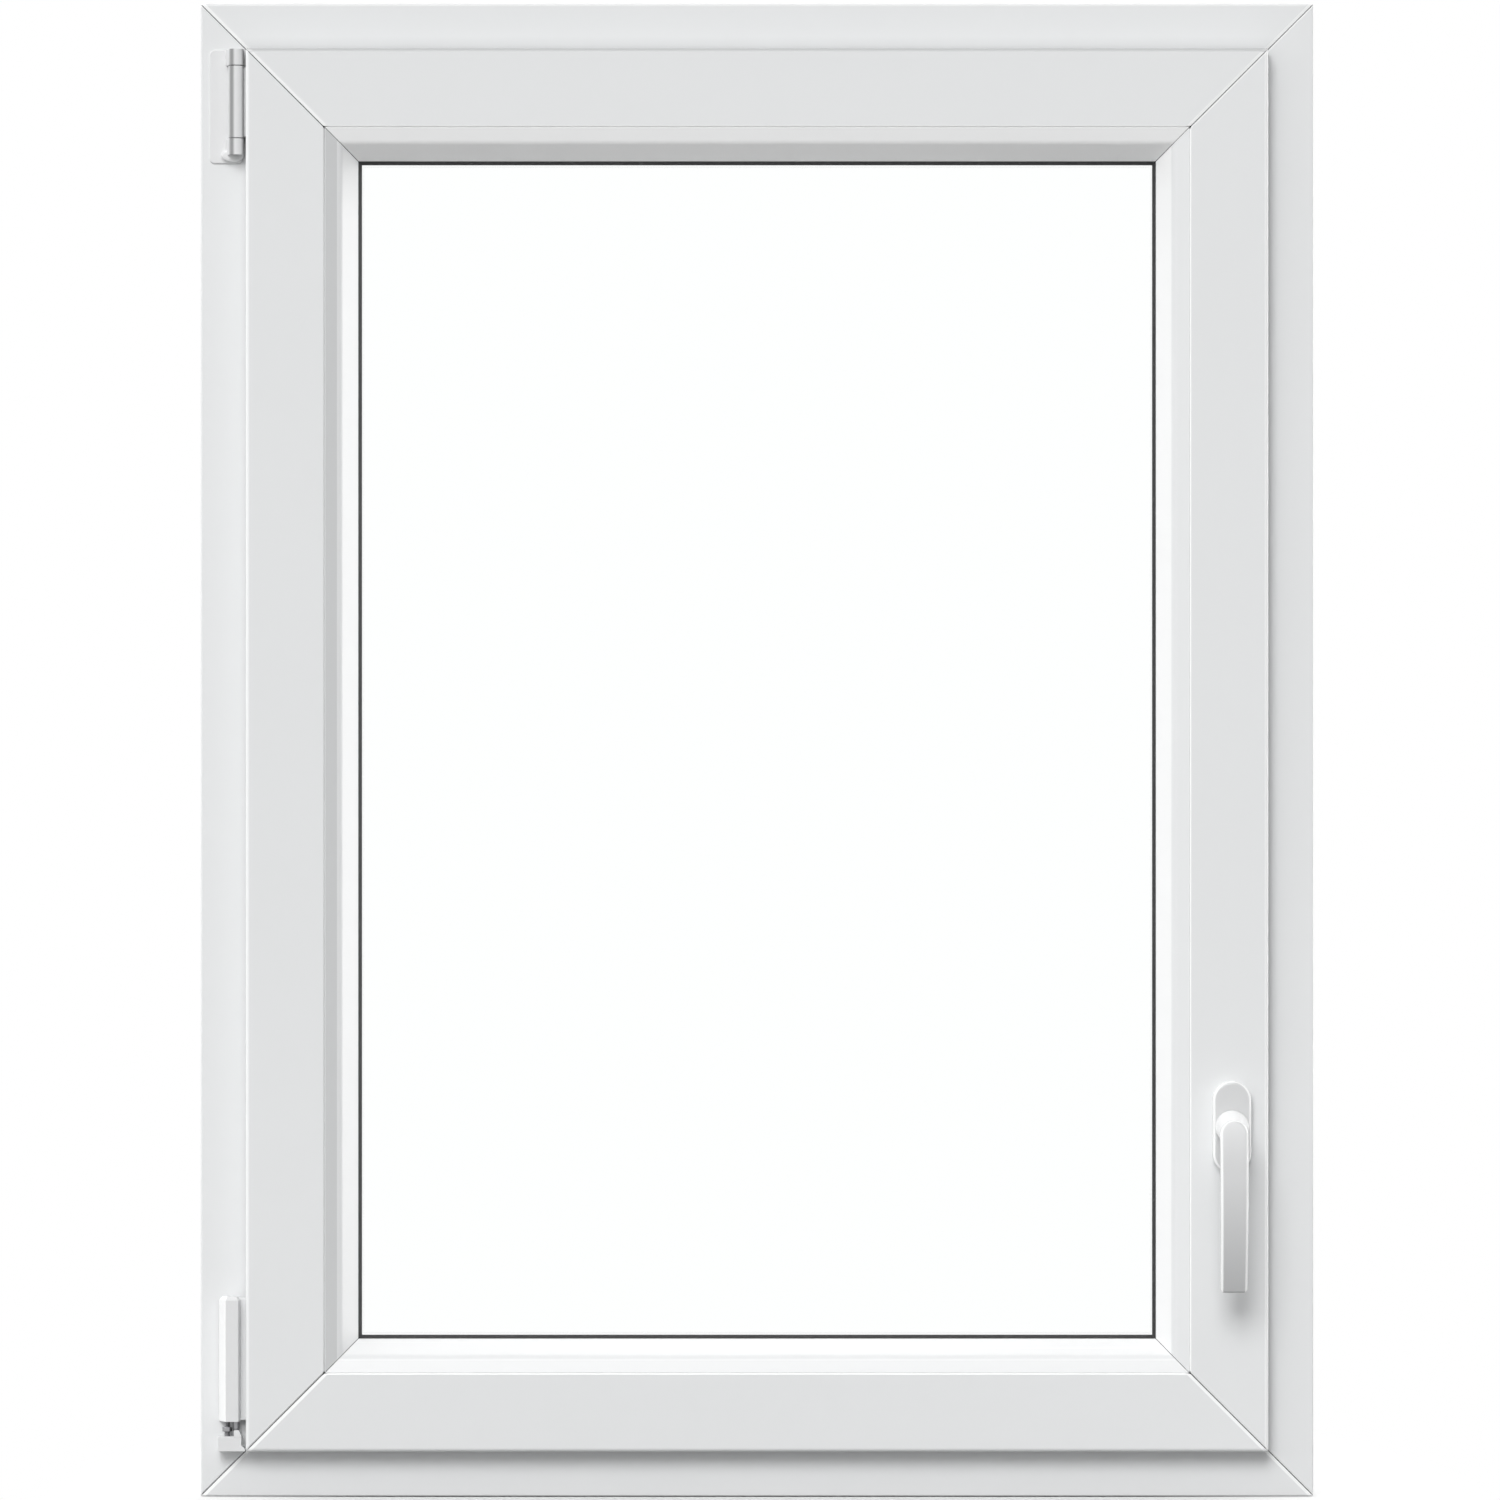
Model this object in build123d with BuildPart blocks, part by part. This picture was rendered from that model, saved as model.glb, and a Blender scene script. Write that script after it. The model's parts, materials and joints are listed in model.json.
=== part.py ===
from build123d import *
import os

# White PVC tilt-and-turn window, closed, in millimetres.
# The room is on the -Y side, +X is to the right seen from the room and +Z is up.
# The origin is on the frame's underside, at mid width and mid depth of the frame.
# Every section is drawn as (u, y): u runs inward from the frame's outer edge, y is the depth.

# Whole window
window_width = 820.0
window_height = 1100.0

# Frame section
frame_depth = 70.0
frame_sight = 34.0  # frame face left in view beside the sash
sash_overlap = 8.0  # how far the sash lies over the frame face
stop_height = 22.0  # outer stop above the rebate floor
stop_thickness = 16.5
stop_tip_radius = 3.0
frame_edge_radius = 1.5
anchor_groove_width = 8.0
anchor_groove_depth = 4.0
anchor_groove_spacing = 34.0

# Sash section
sash_depth = 70.0
sash_face = 58.0  # flat face from the sash's edge to the bead
sash_leg = 15.0  # outer leg behind the glass
leg_bevel = 6.0
hardware_gap = 12.0  # air between the frame's rebate and the sash
sash_edge_radius = 3.0
sash_inner_radius = 1.3
sash_small_radius = 1.0

# Glazing bead
bead_width = 24.0
bead_setback = 0.8  # bead behind the sash face
bead_shelf = 11.5  # gentle slope beside the sash
bead_shelf_drop = 4.4
bead_nose_radius = 8.0
bead_lip = 2.5  # upright edge beside the glass
bead_edge_radius = 0.4

# Glass unit
pane_thickness = 4.0
pane_gap = 16.0
glass_clearance = 5.0  # room for the setting blocks round the glass
spacer_inset = 4.0
spacer_width = 8.0

# Seals
seal_gap = 3.5  # gap that each sash seal closes
sash_seal_width = 4.0
sash_seal_inset = 1.5
frame_seal_inset = 2.0
glazing_gap = 3.0  # gap that each glazing gasket fills
gasket_grip = 6.0  # gasket under the bead and the leg
room_gasket_lip = 2.6  # gasket in view beside the bead
outside_gasket_lip = 1.5  # and beside the leg
gasket_tip = 0.7

# Handle
handle_backset = 27.2  # spindle from the sash's edge
handle_height = 273.0
rosette_width = 28.2
rosette_length = 67.5
rosette_thickness = 10.5
rosette_edge_radius = 2.4
lever_length = 120.0  # spindle to the tip
lever_head_width = 20.6
lever_head_drop = 4.0  # head's centre below the spindle
lever_tip_width = 19.4
lever_tip_radius = 2.6  # corners of the tip, seen from the room
lever_thickness = 11.0
lever_edge_radius = 2.4
lever_overrun = 4.0  # arch drawn past the head and the tip, then cut to them
lever_reach_head = 46.0  # front of the arch from the sash face, at its upper end
lever_reach_middle = 54.0
lever_reach_tip = 41.0
lever_middle = 44.0  # below the spindle
neck_base_radius = 12.4
neck_gap = 0.3
spigot_radius = 8.0
spigot_clearance = 0.08

# Both hinges turn on one upright axis beside the sash
hinge_offset = 7.5  # axis from the sash's edge
hinge_reach = 9.0  # axis in front of the frame face
pin_clearance = 0.1

# Top hinge
barrel_radius = 5.7
barrel_end_length = 12.0
barrel_middle_length = 53.0
barrel_gap = 0.5
top_pin_radius = 2.6
bracket_thickness = 1.6
bracket_left = 20.0  # plate to the left of the axis
bracket_right = 5.0
bracket_tail = 6.0  # plate below the barrel
bracket_corner_radius = 4.0
bracket_edge_radius = 1.0
knuckle_flank = 8.6  # knuckle's web at the plate, left of the axis
foot_half_width = 8.5
foot_half_height = 5.0
foot_left = 2.7  # foot's middle, left of the axis
foot_reach = 6.0
foot_edge_radius = 2.0
tongue_thickness = 3.0
tongue_set_back = 2.8  # tongue's middle behind the axis
tongue_margin = 1.0  # tongue shorter than its hinge part at each end

# Bottom hinge
bearing_height = 11.0
bearing_left = 13.1
bearing_right = 4.2
bearing_reach = 15.5  # in front of the frame face
bearing_edge_radius = 1.2
bearing_floor = 3.0
cheek_left = 1.5
cheek_right = 2.5
cheek_rise = 4.6  # above the bearing
cheek_thickness = 3.0
toe_height = 4.5
toe_tip_height = 1.5
toe_gap = 0.5  # toe clear of the sash's edge
pivot_radius = 2.5
pivot_grip = 16.0  # pivot inside the band
screw_left = 6.5  # adjusting screw, left of the axis
screw_radius = 2.2
screw_nut_radius = 3.6
screw_nut_height = 3.2
screw_nut_lift = 3.4  # nut above the bearing
band_lift = 10.7  # bare pivot between the bearing and the band
band_height = 92.0
band_cap_height = 2.6  # sloping top of the band
band_cap_taper = 40.0
band_back_left = 13.1
band_front_left = 7.7
band_front_right = 2.1
band_back_right = 4.6
band_reach = 16.0
band_clearance = 1.0
band_edge_radius = 0.8

# Drain caps on the outer face of the sill
drain_cap_width = 42.0
drain_cap_height = 13.0
drain_cap_depth = 5.0
drain_cap_rise = 16.0  # cap's middle above the frame's underside
drain_cap_from_end = 190.0
drain_cap_corner_radius = 3.0
drain_slot_width = 32.0
drain_slot_height = 6.0
drain_slot_depth = 2.6

# Distances inward from the frame's outer edge
sash_edge = frame_sight
rebate_floor = frame_sight + sash_overlap
stop_edge = rebate_floor + stop_height
sash_back_edge = rebate_floor + hardware_gap
bead_seat = sash_edge + sash_face
sight_line = bead_seat + bead_width
glass_edge = bead_seat + glass_clearance

# Depths, from the room to the outside
frame_room = -frame_depth / 2
frame_outside = frame_depth / 2
stop_room = frame_outside - stop_thickness
sash_outside = stop_room - seal_gap
sash_room = sash_outside - sash_depth
overlap_back = frame_room - seal_gap
leg_room = sash_outside - sash_leg
glass_outside = leg_room - glazing_gap
cavity_outside = glass_outside - pane_thickness
cavity_room = cavity_outside - pane_gap
glass_room = cavity_room - pane_thickness
bead_back = glass_room - glazing_gap
bead_front = sash_room + bead_setback

# Each side's plane has its x inward, its y outward through the wall and its z along the side
side_planes = {
    "bottom": Plane(origin=(0, 0, 0), x_dir=(0, 0, 1), z_dir=(-1, 0, 0)),
    "top": Plane(origin=(0, 0, window_height), x_dir=(0, 0, -1), z_dir=(1, 0, 0)),
    "left": Plane(origin=(-window_width / 2, 0, window_height / 2), x_dir=(1, 0, 0), z_dir=(0, 0, 1)),
    "right": Plane(origin=(window_width / 2, 0, window_height / 2), x_dir=(-1, 0, 0), z_dir=(0, 0, -1)),
}
side_lengths = {
    "bottom": window_width,
    "top": window_width,
    "left": window_height,
    "right": window_height,
}

os.makedirs("parts", exist_ok=True)


def save(part, name):
    part.label = name
    export_step(part, f"parts/{name}.step")


def mitred_bar(side, corners):
    """A straight profile along one side, cut at 45 degrees at both ends. Corners are (u, y, radius)."""
    plane = side_planes[side]
    half_length = side_lengths[side] / 2
    with BuildPart() as bar:
        with BuildSketch(plane):
            with BuildLine():
                FilletPolyline(
                    [(u, y) for u, y, radius in corners],
                    radius=[radius for u, y, radius in corners],
                    close=True,
                )
            make_face()
        extrude(amount=half_length, both=True)
        for end in (1, -1):
            mitre = Plane(
                origin=plane.origin + plane.z_dir * end * half_length,
                z_dir=plane.x_dir + plane.z_dir * end,
            )
            split(bisect_by=mitre, keep=Keep.BOTTOM)
    return bar.part


def mitred_ring(corners):
    """The same profile round all four sides, joined at the mitres."""
    bars = [mitred_bar(side, corners) for side in side_planes]
    with BuildPart() as ring:
        add(bars)
    return ring.part


# Frame: a rebated section with an outer stop, and two anchor grooves against the wall
def frame_section():
    corners = [
        (0, frame_room, frame_edge_radius),
        (rebate_floor, frame_room, frame_edge_radius),
        (rebate_floor, stop_room, 0),
        (stop_edge, stop_room, sash_small_radius),
        (stop_edge, frame_outside, stop_tip_radius),
        (0, frame_outside, frame_edge_radius),
    ]
    for middle in (anchor_groove_spacing / 2, -anchor_groove_spacing / 2):
        near, far = middle + anchor_groove_width / 2, middle - anchor_groove_width / 2
        corners += [
            (0, near, 0),
            (anchor_groove_depth, near, 0),
            (anchor_groove_depth, far, 0),
            (0, far, 0),
        ]
    return corners


frame_names = {"bottom": "frame_sill", "top": "frame_head", "left": "frame_left_jamb", "right": "frame_right_jamb"}
for side, name in frame_names.items():
    save(mitred_bar(side, frame_section()), name)


# Sash: laps over the frame on the room side and carries the glass in a rebate
sash_section = [
    (sash_edge, overlap_back, sash_small_radius),
    (sash_edge, sash_room, sash_edge_radius),
    (bead_seat, sash_room, sash_inner_radius),
    (bead_seat, leg_room, 0),
    (sight_line, leg_room, sash_small_radius),
    (sight_line, sash_outside - leg_bevel, sash_small_radius),
    (sight_line - leg_bevel, sash_outside, sash_inner_radius),
    (sash_back_edge, sash_outside, sash_small_radius),
    (sash_back_edge, overlap_back, 0),
]
sash_names = {
    "bottom": "sash_bottom_rail",
    "top": "sash_top_rail",
    "left": "sash_hinge_stile",
    "right": "sash_lock_stile",
}
for side, name in sash_names.items():
    save(mitred_bar(side, sash_section), name)


# Glazing beads: a gentle shelf beside the sash, a round nose and a steep face down to the glass
bead_section = [
    (bead_seat, bead_front, bead_edge_radius),
    (bead_seat + bead_shelf, bead_front + bead_shelf_drop, bead_nose_radius),
    (sight_line, bead_back - bead_lip, bead_edge_radius),
    (sight_line, bead_back, 0),
    (bead_seat, bead_back, 0),
]
for side in side_planes:
    save(mitred_bar(side, bead_section), f"bead_{side}")


# Glass unit: two panes held apart by a spacer
glass_width = window_width - 2 * glass_edge
glass_height = window_height - 2 * glass_edge
for name, back in (("glass_outer_pane", glass_outside), ("glass_inner_pane", cavity_room)):
    with BuildPart() as pane:
        with BuildSketch(Plane(origin=(0, back, window_height / 2), x_dir=(1, 0, 0), z_dir=(0, -1, 0))):
            Rectangle(glass_width, glass_height)
        extrude(amount=pane_thickness)
    save(pane.part, name)

spacer_edge = glass_edge + spacer_inset
save(
    mitred_ring(
        [
            (spacer_edge, cavity_room, 0),
            (spacer_edge + spacer_width, cavity_room, 0),
            (spacer_edge + spacer_width, cavity_outside, 0),
            (spacer_edge, cavity_outside, 0),
        ]
    ),
    "glass_spacer",
)


# Glazing gaskets: gripped behind the bead or the leg, with a sloping lip in view on the glass
def gasket_section(holder, glass, lip):
    tip = glass + (gasket_tip if holder > glass else -gasket_tip)
    return [
        (sight_line - gasket_grip, holder, 0),
        (sight_line, holder, 0),
        (sight_line + lip, tip, 0),
        (sight_line + lip, glass, 0),
        (sight_line - gasket_grip, glass, 0),
    ]


save(mitred_ring(gasket_section(bead_back, glass_room, room_gasket_lip)), "glazing_gasket_room_side")
save(mitred_ring(gasket_section(leg_room, glass_outside, outside_gasket_lip)), "glazing_gasket_outside")


# Sash seals: one under the overlap, one on the frame's stop
def seal_section(first_edge, last_edge, room, outside):
    return [
        (first_edge, room, 0),
        (last_edge, room, 0),
        (last_edge, outside, 0),
        (first_edge, outside, 0),
    ]


overlap_seal_edge = sash_edge + sash_seal_inset
save(
    mitred_ring(seal_section(overlap_seal_edge, overlap_seal_edge + sash_seal_width, overlap_back, frame_room)),
    "overlap_seal",
)
stop_seal_edge = stop_edge - frame_seal_inset
save(
    mitred_ring(seal_section(stop_seal_edge - sash_seal_width, stop_seal_edge, sash_outside, stop_room)),
    "stop_seal",
)


# Handle: an oblong rosette on the sash, and a lever whose spigot turns in it
handle_x = window_width / 2 - sash_edge - handle_backset
handle_plane = Plane(origin=(handle_x, sash_room, handle_height), x_dir=(1, 0, 0), z_dir=(0, -1, 0))
lever_side_plane = Plane(origin=(handle_x, sash_room, handle_height), x_dir=(0, -1, 0), z_dir=(-1, 0, 0))

with BuildPart() as rosette:
    with BuildSketch(handle_plane):
        SlotOverall(rosette_length, rosette_width, rotation=90)
    extrude(amount=rosette_thickness)
    fillet(rosette.faces().sort_by(Axis.Y)[0].edges(), radius=rosette_edge_radius)
    with BuildSketch(handle_plane):
        Circle(spigot_radius + spigot_clearance)
    extrude(amount=rosette_thickness, mode=Mode.SUBTRACT)
save(rosette.part, "handle_rosette")

head_radius = lever_head_width / 2
arch_top = head_radius - lever_head_drop + lever_overrun
arch_low = -lever_length - lever_overrun
with BuildPart() as lever:
    # Arched grip, thick as seen from the side
    with BuildSketch(lever_side_plane):
        with BuildLine():
            front = ThreePointArc(
                (lever_reach_head, arch_top),
                (lever_reach_middle, -lever_middle),
                (lever_reach_tip, arch_low),
            )
            back = ThreePointArc(
                (lever_reach_head - lever_thickness, arch_top),
                (lever_reach_middle - lever_thickness, -lever_middle),
                (lever_reach_tip - lever_thickness, arch_low),
            )
            Line(front @ 0, back @ 0)
            Line(front @ 1, back @ 1)
        make_face()
    extrude(amount=lever_head_width, both=True)
    # Round head and square tip, as seen from the room
    with BuildSketch(handle_plane):
        with Locations((0, -lever_head_drop)):
            Circle(head_radius)
        with BuildLine():
            FilletPolyline(
                [
                    (-head_radius, -lever_head_drop),
                    (head_radius, -lever_head_drop),
                    (lever_tip_width / 2, -lever_length),
                    (-lever_tip_width / 2, -lever_length),
                ],
                radius=[0, 0, lever_tip_radius, lever_tip_radius],
                close=True,
            )
        make_face()
    extrude(amount=lever_reach_middle + lever_thickness, mode=Mode.INTERSECT)
    grip_faces = lever.faces().filter_by(GeomType.CYLINDER).sort_by(SortBy.AREA)
    fillet((grip_faces[-1].edges() + grip_faces[-2].edges()), radius=lever_edge_radius)
    # Neck from the rosette to the head, leaning down with it
    with BuildSketch(handle_plane.offset(rosette_thickness + neck_gap)):
        Circle(neck_base_radius)
    with BuildSketch(handle_plane.offset(lever_reach_head - lever_thickness / 2)):
        with Locations((0, -lever_head_drop)):
            Circle(head_radius - lever_edge_radius / 4)
    loft()
    # Spigot in the rosette's bore
    with BuildSketch(handle_plane.offset(neck_gap)):
        Circle(spigot_radius)
    extrude(amount=rosette_thickness)
save(lever.part, "handle_lever")


# Hinges: points on their common axis
hinge_x = -window_width / 2 + sash_edge - hinge_offset
hinge_y = frame_room - hinge_reach
sash_edge_x = -window_width / 2 + sash_edge


def axis_plane(height):
    return Plane(origin=(hinge_x, hinge_y, height))


def tongue(low, high):
    """Leaf that ties a hinge part between two heights to the sash's edge."""
    with BuildPart() as leaf:
        with BuildSketch(axis_plane(low + tongue_margin)):
            with Locations(((sash_edge_x - hinge_x) / 2, tongue_set_back)):
                Rectangle(sash_edge_x - hinge_x, tongue_thickness)
        extrude(amount=high - low - 2 * tongue_margin)
    return leaf.part


# Top hinge: two frame knuckles on a plate, the stay knuckle between them, and the pin
barrel_top = window_height - sash_edge
upper_end_low = barrel_top - barrel_end_length
middle_high = upper_end_low - barrel_gap
middle_low = middle_high - barrel_middle_length
lower_end_high = middle_low - barrel_gap
barrel_low = lower_end_high - barrel_end_length

foot_plane = Plane(origin=(hinge_x - foot_left, frame_room, barrel_low), x_dir=(1, 0, 0), z_dir=(0, -1, 0))
with BuildPart() as foot:
    with BuildSketch(foot_plane):
        Ellipse(foot_half_width, foot_half_height)
    extrude(amount=foot_reach)
    fillet(foot.faces().sort_by(Axis.Y)[0].edges(), radius=foot_edge_radius)

with BuildPart() as top_bracket:
    plate_height = barrel_top - barrel_low + bracket_tail
    plate_middle = Plane(
        origin=(hinge_x + (bracket_right - bracket_left) / 2, frame_room, barrel_top - plate_height / 2),
        x_dir=(1, 0, 0),
        z_dir=(0, -1, 0),
    )
    with BuildSketch(plate_middle):
        RectangleRounded(bracket_left + bracket_right, plate_height, bracket_corner_radius)
    extrude(amount=bracket_thickness)
    fillet(top_bracket.faces().sort_by(Axis.Y)[0].edges(), radius=bracket_edge_radius)
    add(foot.part)
    for low in (upper_end_low, barrel_low):
        with BuildSketch(axis_plane(low)):
            Circle(barrel_radius)
            with BuildLine():
                Polyline(
                    (-knuckle_flank, hinge_reach),
                    (-barrel_radius, 0),
                    (bracket_right, 0),
                    (bracket_right, hinge_reach),
                    close=True,
                )
            make_face()
        extrude(amount=barrel_end_length)
    with BuildSketch(axis_plane(barrel_low)):
        Circle(top_pin_radius + pin_clearance)
    extrude(amount=barrel_top - barrel_low, mode=Mode.SUBTRACT)
save(top_bracket.part, "top_hinge_frame_bracket")

stay_tongue = tongue(middle_low, middle_high)
with BuildPart() as stay_knuckle:
    with BuildSketch(axis_plane(middle_low)):
        Circle(barrel_radius)
    extrude(amount=barrel_middle_length)
    add(stay_tongue)
    with BuildSketch(axis_plane(middle_low)):
        Circle(top_pin_radius + pin_clearance)
    extrude(amount=barrel_middle_length, mode=Mode.SUBTRACT)
save(stay_knuckle.part, "top_hinge_stay_knuckle")

with BuildPart() as top_pin:
    with BuildSketch(axis_plane(barrel_low)):
        Circle(top_pin_radius)
    extrude(amount=barrel_top - barrel_low)
save(top_pin.part, "top_hinge_pin")


# Bottom hinge: a bearing on the frame, a steel pivot and adjusting screw, and the sash's band on top
bearing_low = sash_edge
bearing_high = bearing_low + bearing_height
band_low = bearing_high + band_lift
band_high = band_low + band_height

bearing_plane = Plane(origin=(hinge_x, frame_room, bearing_low), x_dir=(1, 0, 0), z_dir=(0, -1, 0))
with BuildPart() as bearing:
    # Block with a toe that slopes down towards the sash
    with BuildSketch(bearing_plane):
        with BuildLine():
            Polyline(
                (-bearing_left, 0),
                (-bearing_left, bearing_height),
                (bearing_right, bearing_height),
                (bearing_right, toe_height),
                (hinge_offset - toe_gap, toe_tip_height),
                (hinge_offset - toe_gap, 0),
                close=True,
            )
        make_face()
    extrude(amount=bearing_reach)
    fillet(bearing.faces().sort_by(Axis.Y)[0].edges().sort_by(Axis.X)[0], radius=bearing_edge_radius)
    # Cheek in front of the pivot
    with BuildSketch(bearing_plane.offset(bearing_reach - cheek_thickness)):
        with BuildLine():
            Polyline(
                (-cheek_left, bearing_height),
                (-cheek_left, bearing_height + cheek_rise),
                (cheek_right, bearing_height + cheek_rise),
                (bearing_right, bearing_height),
                close=True,
            )
        make_face()
    extrude(amount=cheek_thickness)
    with BuildSketch(axis_plane(bearing_low + bearing_floor)):
        Circle(pivot_radius + pin_clearance)
    extrude(amount=bearing_height - bearing_floor, mode=Mode.SUBTRACT)
save(bearing.part, "bottom_hinge_frame_bearing")

with BuildPart() as pivot:
    with BuildSketch(axis_plane(bearing_low + bearing_floor)):
        Circle(pivot_radius)
    extrude(amount=band_low + pivot_grip - bearing_low - bearing_floor)
save(pivot.part, "bottom_hinge_pivot")

screw_x = hinge_x - screw_left
with BuildPart() as screw:
    with BuildSketch(Plane(origin=(screw_x, hinge_y, bearing_high))):
        Circle(screw_radius)
    extrude(amount=band_lift)
    with BuildSketch(Plane(origin=(screw_x, hinge_y, bearing_high + screw_nut_lift))):
        RegularPolygon(screw_nut_radius, side_count=6)
    extrude(amount=screw_nut_height)
save(screw.part, "bottom_hinge_adjusting_screw")

band_tongue = tongue(band_low, band_high)
band_back = hinge_reach - band_clearance
band_front = hinge_reach - band_reach
with BuildPart() as band:
    with BuildSketch(axis_plane(band_low)):
        with BuildLine():
            Polyline(
                (-band_back_left, band_back),
                (-band_front_left, band_front),
                (band_front_right, band_front),
                (band_back_right, band_back),
                close=True,
            )
        make_face()
    extrude(amount=band_height - band_cap_height)
    extrude(band.faces().sort_by(Axis.Z)[-1], amount=band_cap_height, taper=band_cap_taper)
    fillet(band.edges().filter_by(Axis.Z).group_by(Axis.Y)[0], radius=band_edge_radius)
    add(band_tongue)
    with BuildSketch(axis_plane(band_low)):
        Circle(pivot_radius + pin_clearance)
    extrude(amount=pivot_grip, mode=Mode.SUBTRACT)
save(band.part, "bottom_hinge_sash_band")


# Drain caps: hoods over the sill's weep slots, open at the bottom
for name, direction in (("drain_cap_left", -1), ("drain_cap_right", 1)):
    cap_x = direction * (window_width / 2 - drain_cap_from_end)
    cap_plane = Plane(origin=(cap_x, frame_outside, drain_cap_rise), x_dir=(-1, 0, 0), z_dir=(0, 1, 0))
    with BuildPart() as drain_cap:
        with BuildSketch(cap_plane):
            RectangleRounded(drain_cap_width, drain_cap_height, drain_cap_corner_radius)
        extrude(amount=drain_cap_depth)
        fillet(drain_cap.faces().sort_by(Axis.Y)[-1].edges(), radius=drain_slot_depth / 2)
        with BuildSketch(cap_plane):
            with Locations((0, -drain_cap_height / 2)):
                Rectangle(drain_slot_width, drain_slot_height)
        extrude(amount=drain_slot_depth, mode=Mode.SUBTRACT)
    save(drain_cap.part, name)
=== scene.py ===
import json
import math

import bmesh
import bpy
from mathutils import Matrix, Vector


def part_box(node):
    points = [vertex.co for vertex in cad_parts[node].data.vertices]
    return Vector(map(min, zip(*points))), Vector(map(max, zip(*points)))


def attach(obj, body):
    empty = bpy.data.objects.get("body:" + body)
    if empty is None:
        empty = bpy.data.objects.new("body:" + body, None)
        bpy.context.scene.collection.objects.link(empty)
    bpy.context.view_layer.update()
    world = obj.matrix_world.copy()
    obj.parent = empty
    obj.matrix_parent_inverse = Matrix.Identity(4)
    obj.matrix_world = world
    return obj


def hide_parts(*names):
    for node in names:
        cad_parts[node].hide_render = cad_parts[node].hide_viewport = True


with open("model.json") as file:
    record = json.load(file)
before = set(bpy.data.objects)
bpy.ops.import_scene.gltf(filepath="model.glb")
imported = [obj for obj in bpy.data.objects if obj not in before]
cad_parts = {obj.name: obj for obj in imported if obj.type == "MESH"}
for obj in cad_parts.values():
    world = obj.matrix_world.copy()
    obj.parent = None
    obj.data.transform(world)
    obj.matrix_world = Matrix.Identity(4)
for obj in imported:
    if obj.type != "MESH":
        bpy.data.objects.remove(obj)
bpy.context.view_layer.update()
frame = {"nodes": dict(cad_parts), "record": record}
nodes = frame["nodes"]
mm = 0.001

scene = bpy.context.scene
scene.view_settings.view_transform = "Standard"


# where the CAD pieces lie, so that the dressed pieces land on them
def cadPlaces():
    jambLow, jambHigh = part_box("frame_left_jamb")
    sillLow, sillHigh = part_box("frame_sill")
    stileLow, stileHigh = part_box("sash_hinge_stile")
    beadLow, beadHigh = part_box("bead_left")
    innerLow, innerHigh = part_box("glass_inner_pane")
    outerLow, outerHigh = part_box("glass_outer_pane")
    pinLow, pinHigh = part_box("top_hinge_pin")
    left = sillLow.x
    return {
        "width": sillHigh.x - sillLow.x,
        "height": jambHigh.z - jambLow.z,
        "stopEdge": jambHigh.x - left,
        "frameRoom": jambLow.y,
        "frameOutside": jambHigh.y,
        "sashEdge": stileLow.x - left,
        "sashRoom": stileLow.y,
        "sashOutside": stileHigh.y,
        "beadSeat": beadLow.x - left,
        "sightLine": beadHigh.x - left,
        "beadBack": beadHigh.y,
        "glassRoom": innerLow.y,
        "cavityRoom": innerHigh.y,
        "cavityOutside": outerLow.y,
        "glassOutside": outerHigh.y,
        "hingeX": (pinLow.x + pinHigh.x) / 2,
        "hingeY": (pinLow.y + pinHigh.y) / 2,
    }


at = cadPlaces()
print("places read from the frame:", {k: round(v, 4) for k, v in at.items()})


# materials

def newGroup(name, inputs, outputs):
    group = bpy.data.node_groups.new(name, "ShaderNodeTree")
    for label, kind, value in inputs:
        socket = group.interface.new_socket(label, in_out="INPUT", socket_type=kind)
        socket.default_value = value
    for label, kind in outputs:
        group.interface.new_socket(label, in_out="OUTPUT", socket_type=kind)
    return group, group.nodes.new("NodeGroupInput"), group.nodes.new("NodeGroupOutput")


def makeNode(tree, kind, **settings):
    node = tree.nodes.new(kind)
    for key, value in settings.items():
        setattr(node, key, value)
    return node


def mathNode(tree, operation, *values):
    node = makeNode(tree, "ShaderNodeMath", operation=operation)
    for socket, value in zip(node.inputs, values):
        if isinstance(value, (int, float)):
            socket.default_value = value
        else:
            tree.links.new(value, socket)
    return node.outputs[0]


def mixColour(tree, factor, first, second):
    node = makeNode(tree, "ShaderNodeMix", data_type="RGBA")
    tree.links.new(factor, node.inputs["Factor"])
    for socket, value in ((node.inputs["A"], first), (node.inputs["B"], second)):
        if isinstance(value, tuple):
            socket.default_value = value
        else:
            tree.links.new(value, socket)
    return node.outputs["Result"]


def noiseNode(tree, vector, scale, detail):
    node = makeNode(tree, "ShaderNodeTexNoise")
    node.inputs["Scale"].default_value = scale
    node.inputs["Detail"].default_value = detail
    tree.links.new(vector, node.inputs["Vector"])
    return node.outputs["Fac"]


def stretched(tree, vector, scale):
    node = makeNode(tree, "ShaderNodeMapping")
    node.inputs["Scale"].default_value = scale
    tree.links.new(vector, node.inputs["Vector"])
    return node.outputs["Vector"]


def splitVector(tree, vector):
    node = makeNode(tree, "ShaderNodeSeparateXYZ")
    tree.links.new(vector, node.inputs[0])
    return node.outputs


def softStep(tree, value, low, high):
    node = makeNode(tree, "ShaderNodeMapRange", interpolation_type="SMOOTHSTEP")
    node.inputs["From Min"].default_value = low
    node.inputs["From Max"].default_value = high
    tree.links.new(value, node.inputs["Value"])
    return node.outputs["Result"]


# the second shader shows where the factor is one
def mixShaders(tree, factor, first, second):
    mix = makeNode(tree, "ShaderNodeMixShader")
    tree.links.new(factor, mix.inputs["Fac"])
    tree.links.new(first.outputs[0], mix.inputs[1])
    tree.links.new(second.outputs[0], mix.inputs[2])
    tree.links.new(mix.outputs["Shader"], tree.nodes["Material Output"].inputs["Surface"])


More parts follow.
